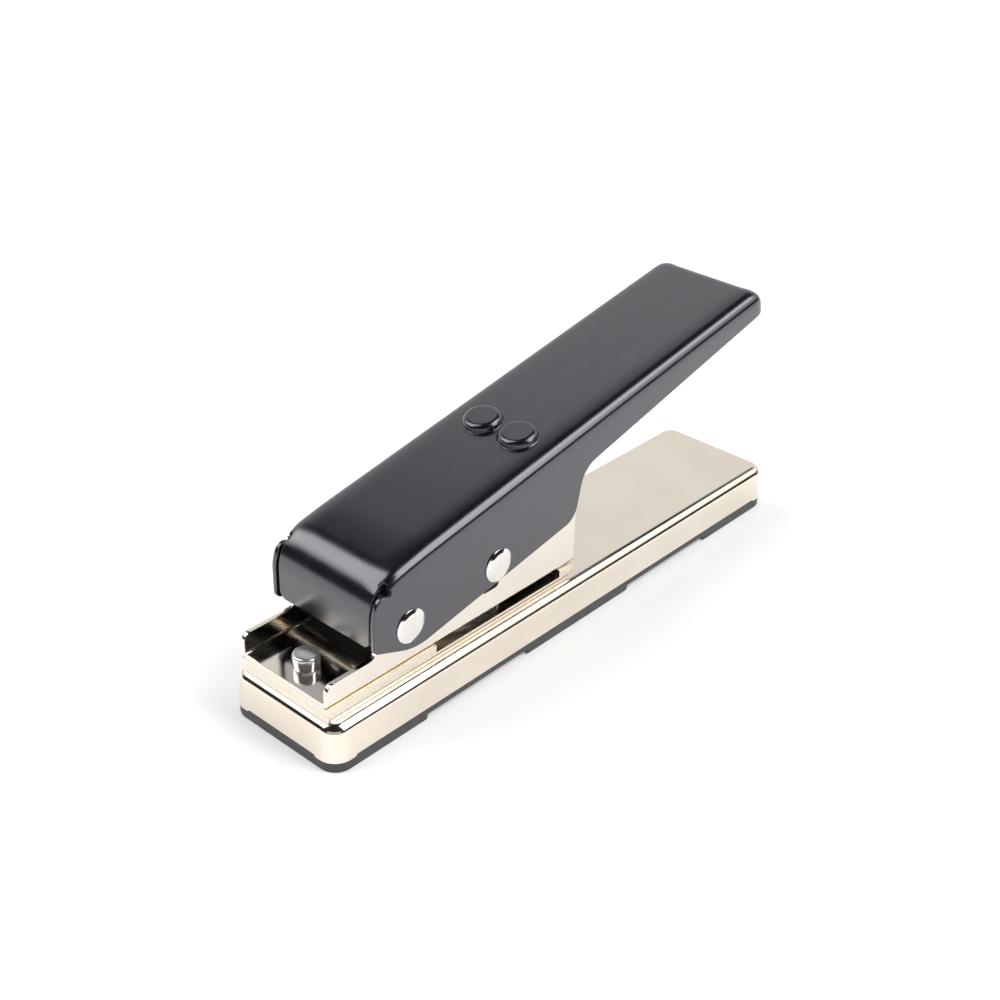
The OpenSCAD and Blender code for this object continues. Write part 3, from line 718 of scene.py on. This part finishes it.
def copied(piece):
    bpy.ops.object.select_all(action="DESELECT")
    piece.select_set(True)
    bpy.context.view_layer.objects.active = piece
    bpy.ops.object.duplicate(linked=False)
    return bpy.context.object


def joined(name, pieces):
    bpy.ops.object.select_all(action="DESELECT")
    for piece in pieces:
        piece.select_set(True)
    bpy.context.view_layer.objects.active = pieces[0]
    bpy.ops.object.join()
    bpy.context.object.name = name
    return bpy.context.object


rivet_low = 12.2
rivet_foot_r = 2.5
rivet_r = 1.5
tray_under = tray_top - tray_sheet
rivet = turned("floor_rivet", profile_of([
    (0, rivet_low, 0), (rivet_foot_r, rivet_low, 0.5), (rivet_foot_r, tray_under, 0.1),
    (rivet_r, tray_under, 0), (rivet_r, floor_top, 0), (3.55, floor_top, 0.1), (3.85, 24.4, 0.75), (0, 24.7, 0),
]))
rivets = [moved(copied(rivet), (x, y, 0)) for x, y in rivet_places]
bpy.data.objects.remove(rivet)
rivets = joined("floor_rivets_finished", rivets)
rivet_steel = finish("rivet_steel", Metallic=0.8)
vary_colour(rivet_steel, 160, (0.66, 0.68, 0.70), (0.72, 0.74, 0.76))
vary_roughness(rivet_steel, 500, 0.18, 0.26)
add_grain(rivet_steel, 500, 0.000001)
rivets.data.materials.append(rivet_steel)
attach(rivets, "base")
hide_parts("floor_rivets")

# Spring pegs
# Two turned steel pegs riveted into the frame floor, which keep the springs in place.
spring_x = -10
spring_y = 6.65
peg_foot_r = 1.8
peg_r = 2.3
peg_top = 24.3
peg = turned("spring_peg", profile_of([
    (0, floor_low, 0), (peg_foot_r, floor_low, 0.1), (peg_foot_r, floor_top, 0),
    (peg_r, floor_top, 0), (peg_r, peg_top, 0.6), (0, peg_top, 0),
]))
pegs = [moved(copied(peg), (spring_x, side * spring_y, 0)) for side in (-1, 1)]
bpy.data.objects.remove(peg)
pegs = joined("spring_pegs_finished", pegs)
pin_steel = finish("pin_steel", Metallic=1.0)
vary_colour(pin_steel, 400, (0.71, 0.69, 0.66), (0.76, 0.74, 0.71))
vary_roughness(pin_steel, 600, 0.07, 0.13)
add_grain(pin_steel, 500, 0.000001)
pegs.data.materials.append(pin_steel)
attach(pegs, "base")
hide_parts("spring_pegs")

# Lever
# One pressed sheet with black satin paint, its sides and front tab bent down from the top. A small hole ends
# the bends at each front corner, and two seats for the springs are pressed up out of the top. Its skin is
# drawn section by section along the bends, because their soft lead-in is no plain round.
pivot_x = -69
pivot_z = 33
rest_angle = math.radians(10.65)
lever_half = 19.55
lever_sheet = 1.5
lever_top = 18.8
lever_rear = 160.5
rear_corner = 6
rear_corner_power = 3
lever_front = -9.4
side_lip = 0.3
nose_round = 2.7
nose_clear = 1.3 * nose_round
nose_low_round = 2
nose_gap = 1.3
nose_columns = 4
belly_front = (0.3, -8.8, 18)
belly_rear = (65.5, -8.8, 6)
knee = (71.5, 5.5, 8)
handle_rise = 0.061
shoulder_r = 12.5
shoulder_top = 18.45
shoulder_lead = math.radians(3.3)
notch_angle = math.radians(29.7)
shoulder_turn = math.pi / 2 - rest_angle
shoulder_u = lever_front + shoulder_r * math.tan(shoulder_turn / 2)
shoulder_w = shoulder_top - shoulder_r
front_drop = lever_top - shoulder_w - shoulder_r * math.cos(shoulder_lead)
front_lead = 2 * front_drop / math.tan(shoulder_lead)
tab_low = -0.1
tab_corner = 2.5
tab_inset = 2.2
edge_width = 5.2
edge_power = 3.5
rear_edge_power = 2.0
edge_steps = 16
edge_lead = 9
edge_drop = 0.6
edge_lead_steps = 6
flat_round = 1
skin = bmesh.new()


def tab_face(height):
    return lever_front - (shoulder_top - height) * math.tan(rest_angle)


def skin_point(u, y, w):
    return skin.verts.new(Vector((u, y, w)) * MM)


def shoulder_point(angle):
    """Where the shoulder's bend is, and the way it faces, at an angle forward from its top."""
    facing = Vector((-math.sin(angle), 0, math.cos(angle)))
    return Vector((shoulder_u, 0, shoulder_w)) + shoulder_r * facing, facing


def bent(angle, power):
    """A point of a bend that is squarer than a round by its power, for a bend of radius one."""
    return max(0, math.cos(angle)) ** (2 / power), max(0, math.sin(angle)) ** (2 / power)


def bend_curve(power):
    """Steps inward and below the sharp edge, from the side over the bend and its soft lead-in to the top."""
    spots = [bent(math.pi / 2 * i / edge_steps, power) for i in range(edge_steps + 1)]
    steps = [(edge_width * (1 - across), edge_width * (1 - along)) for across, along in spots]
    for i in range(1, edge_lead_steps + 1):
        steps.append((edge_width + (edge_lead - edge_width) * i / edge_lead_steps, 0))
    return [(inward, below + edge_drop * (1 - inward / edge_lead) ** 2) for inward, below in steps]


edge_curve = bend_curve(edge_power)
tab_column = min(range(edge_steps), key=lambda i: abs(edge_curve[i][0] - tab_inset))
tab_half = lever_half - edge_curve[tab_column][0]
bend_steps = 10
lead_steps = 8
front_count = bend_steps + 1 + lead_steps


def edge_section(corner, inward, up, curve):
    return [skin_point(*(corner + i * inward - b * up)) for i, b in curve]


def side_sections(side):
    """Sections of one long edge from the corner hole to the middle of the rear corner's end."""
    sections = []
    inward = Vector((0, -side, 0))
    for i in range(bend_steps + 1):
        corner, facing = shoulder_point(notch_angle + (shoulder_lead - notch_angle) * i / bend_steps)
        corner.y = side * lever_half
        sections.append(edge_section(corner, inward, facing, edge_curve))
    lead_start = corner.x
    for i in range(1, lead_steps + 1):
        left_over = 1 - i / lead_steps
        slope = math.atan(math.tan(shoulder_lead) * left_over)
        height = lever_top - front_drop * left_over ** 2
        corner = Vector((lead_start + front_lead * i / lead_steps, side * lever_half, height))
        facing = Vector((-math.sin(slope), 0, math.cos(slope)))
        sections.append(edge_section(corner, inward, facing, edge_curve))
    corner_steps = 16
    middle = Vector((lever_rear - rear_corner, side * (lever_half - rear_corner), lever_top))
    flat_inset = edge_lead + flat_round
    flat_middle = Vector((lever_rear - flat_inset, side * (lever_half - flat_inset), lever_top))
    for i in range(corner_steps + 1):
        share = i / corner_steps
        turn = math.pi / 2 * share
        aside, behind = bent(turn, rear_corner_power)
        corner = middle + rear_corner * Vector((behind, side * aside, 0))
        flat = flat_middle + flat_round * Vector((math.sin(turn), side * math.cos(turn), 0))
        curve = bend_curve(edge_power + (rear_edge_power - edge_power) * share)
        sections.append(edge_section(corner, (flat - corner) / edge_lead, Vector((0, 0, 1)), curve))
    return sections


def rear_low(u):
    """How low the handle's side reaches behind the knee."""
    return knee[1] + (u - knee[0]) * handle_rise


def side_plate(side, sections):
    """The flat side below the long edge, with its nose ahead of the corner hole."""
    notch, facing = shoulder_point(notch_angle)
    ahead = Vector((-facing.z, 0, facing.x)) * nose_gap
    nose_column = []
    for _, below in edge_curve[:nose_columns]:
        nose_column.append(skin_point(*(notch + ahead - below * facing + Vector((0, side * lever_half, 0)))))
    low = tab_low - side_lip
    nose = (tab_face(low) - side_lip, low, nose_low_round)
    shoulder = (lever_front - side_lip, shoulder_top, shoulder_r)
    arc = corner_arc((lever_rear, shoulder_top), shoulder, nose, 28)
    arc = [point for point in arc if (point - (notch + ahead).xz).dot(ahead.xz) > -0.05]
    nose_top = arc[0]
    arc = [point for point in arc if (point - nose_top).length > nose_clear]
    outline = corner_arc(nose_column[-1].co.xz / MM, (*nose_top, nose_round), arc[0], 6) + arc
    outline += corner_arc(shoulder, nose, belly_front, 8)
    outline += corner_arc(nose, belly_front, belly_rear, 14)
    outline += corner_arc(belly_front, belly_rear, knee, 12)
    outline += corner_arc(belly_rear, knee, (lever_rear, rear_low(lever_rear)), 12)
    rim = [skin_point(point.x, side * lever_half, point.y) for point in outline]
    foot = skin_point(lever_rear - rear_corner, side * lever_half, rear_low(lever_rear - rear_corner))
    upper = [section[0] for section in sections[:front_count + 1]]
    skin.faces.new(upper + [foot] + rim[::-1] + nose_column[::-1])
    front = sections[0]
    for i in range(nose_columns - 1):
        skin.faces.new((front[i], front[i + 1], nose_column[i + 1], nose_column[i]))
    skin.faces.new((front[nose_columns - 1], front[nose_columns], rim[0], nose_column[-1]))
    return foot


def rows_between(first, second):
    """A row of faces between two lines of points."""
    for i in range(len(first) - 1):
        skin.faces.new((first[i], first[i + 1], second[i + 1], second[i]))


left_sections = side_sections(1)
right_sections = side_sections(-1)
left_foot = side_plate(1, left_sections)
right_foot = side_plate(-1, right_sections)
around = left_sections + right_sections[::-1]
for first, second in zip(around, around[1:]):
    rows_between(first, second)
rear_around = left_sections[front_count:] + right_sections[:front_count - 1:-1]
rear_rim = [left_foot]
for section in rear_around[1:-1]:
    u, y = section[0].co.xy / MM
    rear_rim.append(skin_point(u, y, rear_low(u)))
rear_rim.append(right_foot)
rows_between([section[0] for section in rear_around], rear_rim)
rows_between([section[-1] for section in left_sections[:front_count + 1]],
    [section[-1] for section in right_sections[:front_count + 1]])
skin.faces.new([section[-1] for section in rear_around])

columns = left_sections[0][tab_column:] + right_sections[0][:tab_column - 1:-1]
column_places = [corner.co.y / MM for corner in columns]
droops = [below for _, below in edge_curve[tab_column:]]
droops = droops + droops[::-1]
tab_rows = [columns]
tab_steps = 16
fade_steps = 5
for i in range(1, tab_steps + 1):
    spot, facing = shoulder_point(notch_angle + (shoulder_turn - notch_angle) * i / tab_steps)
    fade = max(0, 1 - i / fade_steps)
    row = []
    for y, droop in zip(column_places, droops):
        row.append(skin_point(*(spot - fade * droop * facing + Vector((0, y, 0)))))
    tab_rows.append(row)
tab_start, facing = shoulder_point(shoulder_turn)
down = Vector((-facing.z, 0, facing.x))
tab_length = (tab_start.z - tab_low) / -down.z
corner_rows = 7
for i in range(corner_rows + 1):
    a = math.pi / 2 * i / corner_rows
    spot = tab_start + down * (tab_length - tab_corner * (1 - math.sin(a)))
    half = tab_half - tab_corner * (1 - math.cos(a))
    row = [skin_point(*(spot + Vector((0, y * half / tab_half, 0)))) for y in column_places]
    tab_rows.append(row)
for first, second in zip(tab_rows, tab_rows[1:]):
    rows_between(first, second)
bmesh.ops.recalc_face_normals(skin, faces=skin.faces[:])
lever_mesh = bpy.data.meshes.new("hand_lever")
skin.to_mesh(lever_mesh)
skin.free()
lever = bpy.data.objects.new("hand_lever", lever_mesh)
bpy.context.scene.collection.objects.link(lever)
top_face = max(lever.data.polygons, key=lambda face: face.area if abs(face.normal.z) > 0.9 else 0)
if top_face.normal.z < 0:
    lever.data.flip_normals()
modify(lever, "SOLIDIFY", thickness=lever_sheet * MM, offset=-1, use_even_offset=True)


def rod(name, radius, length, middle, turn=(0, 0, 0), sides=48):
    """A plain rod to cut holes with: its middle in millimetres and its turn in radians."""
    bpy.ops.object.select_all(action="DESELECT")
    bpy.ops.mesh.primitive_cylinder_add(vertices=sides, radius=radius * MM, depth=length * MM,
        location=Vector(middle) * MM, rotation=turn)
    bpy.context.object.name = name
    bpy.ops.object.transform_apply(location=True, rotation=True, scale=True)
    return bpy.context.object


corner_hole_r = 1
corner_hole_y = 17.85
corner_hole_depth = 9
seat_u = 59.3
seat_root = lever_top - 1.1
seat_foot = lever_top - 0.1
seat_top = lever_top + 2.1
seat_flange_r = 6.6
seat_profile = profile_of([
    (0, seat_root, 0), (seat_flange_r, seat_root, 0), (seat_flange_r, seat_foot, 0),
    (5.95, seat_foot, 0.7), (5.5, seat_top, 1.8), (0, seat_top, 0),
], 8)
pocket_r = 4.1
pocket_depth = 3.6
pocket_middle = 16.8
for side in (-1, 1):
    corner_hole = shoulder_point(notch_angle)[0] + Vector((0, side * corner_hole_y, 0))
    corner_drill = rod("corner_hole", corner_hole_r, corner_hole_depth, corner_hole, (0, -notch_angle, 0), 32)
    combine(lever, corner_drill, "DIFFERENCE")
    seat = turned("spring_seat", seat_profile, 64)
    combine(lever, moved(seat, (seat_u, side * spring_y, 0)), "UNION")
    pocket = rod("seat_pocket", pocket_r, pocket_depth, (seat_u, side * spring_y, pocket_middle))
    combine(lever, pocket, "DIFFERENCE")
drive_u = 33.5
drive_w = -3.2
pin_hole_r = 3.05
pin_hole_length = 60
across_turn = (math.pi / 2, 0, 0)
for u, w in ((0, 0), (drive_u, drive_w)):
    combine(lever, rod("pin_hole", pin_hole_r, pin_hole_length, (u, 0, w), across_turn), "DIFFERENCE")
soften(lever, 0.4, 3)
lever.rotation_euler = (0, -rest_angle, 0)
lever.location = (pivot_x * MM, 0, pivot_z * MM)
bpy.ops.object.transform_apply(location=True, rotation=True, scale=True)
# The near-black is the paint's own colour; the blue cast in it and the blue tint on its reflections are a
# painted reflection of a bluish room.
lever_paint_and_blue_reflection = finish("lever_paint_and_blue_reflection", IOR=1.94, Specular_Tint=(0.93, 0.945, 1, 1))
vary_colour(lever_paint_and_blue_reflection, 60, (0.003, 0.0033, 0.0095), (0.0045, 0.0048, 0.012))
vary_roughness(lever_paint_and_blue_reflection, 220, 0.19, 0.23)
add_grain(lever_paint_and_blue_reflection, 1500, 0.0000025)
lever.data.materials.append(lever_paint_and_blue_reflection)
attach(lever, "lever")
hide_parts("lever_shell")

# Pins and washers
# Two turned steel pins, headed at both ends, cross the lever: one is its pivot in the frame, and the other
# pushes the punch down. A thin steel washer on each side keeps the lever off the frame.
pin_r = 3
pin_shank_half = 19.6
pin_head = [(5, pin_shank_half, 0.1), (5, 19.85, 0.15), (3.9, 20.38, 0.3), (0, 20.5, 0)]
pin_profile = [(radius, -out, rounding) for radius, out, rounding in reversed(pin_head)]
pin_profile += [(pin_r, -pin_shank_half, 0), (pin_r, pin_shank_half, 0)] + pin_head
drive_z = 36.048
for name, x, z, node, body in (
        ("pivot_pin_finished", pivot_x, pivot_z, "pivot_pin", "base"),
        ("drive_pin_finished", drive_x, drive_z, "drive_pin", "lever")):
    pin = moved(turned(name, profile_of(pin_profile), 64), (x, 0, z), 90)
    pin.data.materials.append(pin_steel)
    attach(pin, body)
    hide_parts(node)


def refinish(node, material):
    """A better finish for a solid that keeps its shape."""
    materials = bpy.data.objects[node].data.materials
    materials.clear()
    materials.append(material)


for node in ("pivot_washers", "drive_washers"):
    refinish(node, pin_steel)

# Return springs
# Two coil springs of steel wire stand on the pegs and lift the lever by its seats.
spring_foot = Vector((spring_x, 21.05))
spring_head = Vector((-14.315, 61.447))
spring_bow = (spring_head - spring_foot).length / 3
foot_guide = spring_foot + spring_bow * Vector((0, 1))
head_guide = spring_head - spring_bow * Vector((-math.sin(rest_angle), math.cos(rest_angle)))
spring_turns = 11
coil_r = 3.2
wire_r = 0.6
closed_step = 1.8
closed_pitch = closed_step / (spring_head - spring_foot).length
open_pitch = (1 - 2 * closed_pitch) / (spring_turns - 2)
points_per_turn = 28


def coil_point(turn):
    """A point of the wire's middle line after a number of turns; the first and the last turn are closed."""
    t = turn * closed_pitch
    if turn > spring_turns - 1:
        t = 1 - (spring_turns - turn) * closed_pitch
    elif turn > 1:
        t = closed_pitch + (turn - 1) * open_pitch
    s = 1 - t
    middle = (s ** 3 * spring_foot + 3 * s * s * t * foot_guide + 3 * s * t * t * head_guide
        + t ** 3 * spring_head)
    slope = s * s * (foot_guide - spring_foot) + 2 * s * t * (head_guide - foot_guide)
    slope = (slope + t * t * (spring_head - head_guide)).normalized()
    reach = coil_r * math.cos(2 * math.pi * turn)
    aside = coil_r * math.sin(2 * math.pi * turn)
    return Vector((middle.x + reach * slope.y, aside, middle.y - reach * slope.x))


spring_steel = finish("spring_steel", Metallic=1.0)
vary_colour(spring_steel, 500, (0.50, 0.50, 0.51), (0.58, 0.58, 0.59))
vary_roughness(spring_steel, 900, 0.18, 0.28)
add_grain(spring_steel, 1500, 0.000003)
coil_points = [coil_point(i / points_per_turn) for i in range(spring_turns * points_per_turn + 1)]
for name, side, node in (
        ("spring_left", 1, "return_spring_left"),
        ("spring_right", -1, "return_spring_right")):
    wire = bpy.data.curves.new(name, "CURVE")
    wire.dimensions = "3D"
    wire.bevel_depth = wire_r * MM
    wire.bevel_resolution = 4
    wire.use_fill_caps = True
    line = wire.splines.new("POLY")
    line.points.add(len(coil_points) - 1)
    for knot, point in zip(line.points, coil_points):
        knot.co = (*((point + Vector((0, side * spring_y, 0))) * MM), 1)
    spring = bpy.data.objects.new(name, wire)
    bpy.context.scene.collection.objects.link(spring)
    bpy.ops.object.select_all(action="DESELECT")
    spring.select_set(True)
    bpy.context.view_layer.objects.active = spring
    bpy.ops.object.convert(target="MESH")
    bpy.ops.object.shade_smooth_by_angle(angle=math.radians(40))
    spring.data.materials.append(spring_steel)
    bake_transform(spring)
    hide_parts(node)

# Punch
# A ground tool-steel blade in the outline of a pick, screwed up against the block that the drive pin moves.
tool_steel = finish("tool_steel", Metallic=1.0)
vary_colour(tool_steel, 120, (0.54, 0.53, 0.51), (0.62, 0.61, 0.59))
vary_roughness(tool_steel, 400, 0.24, 0.36)
add_grain(tool_steel, 1800, 0.000003)
for node in ("punch", "punch_holder", "punch_screws"):
    refinish(node, tool_steel)
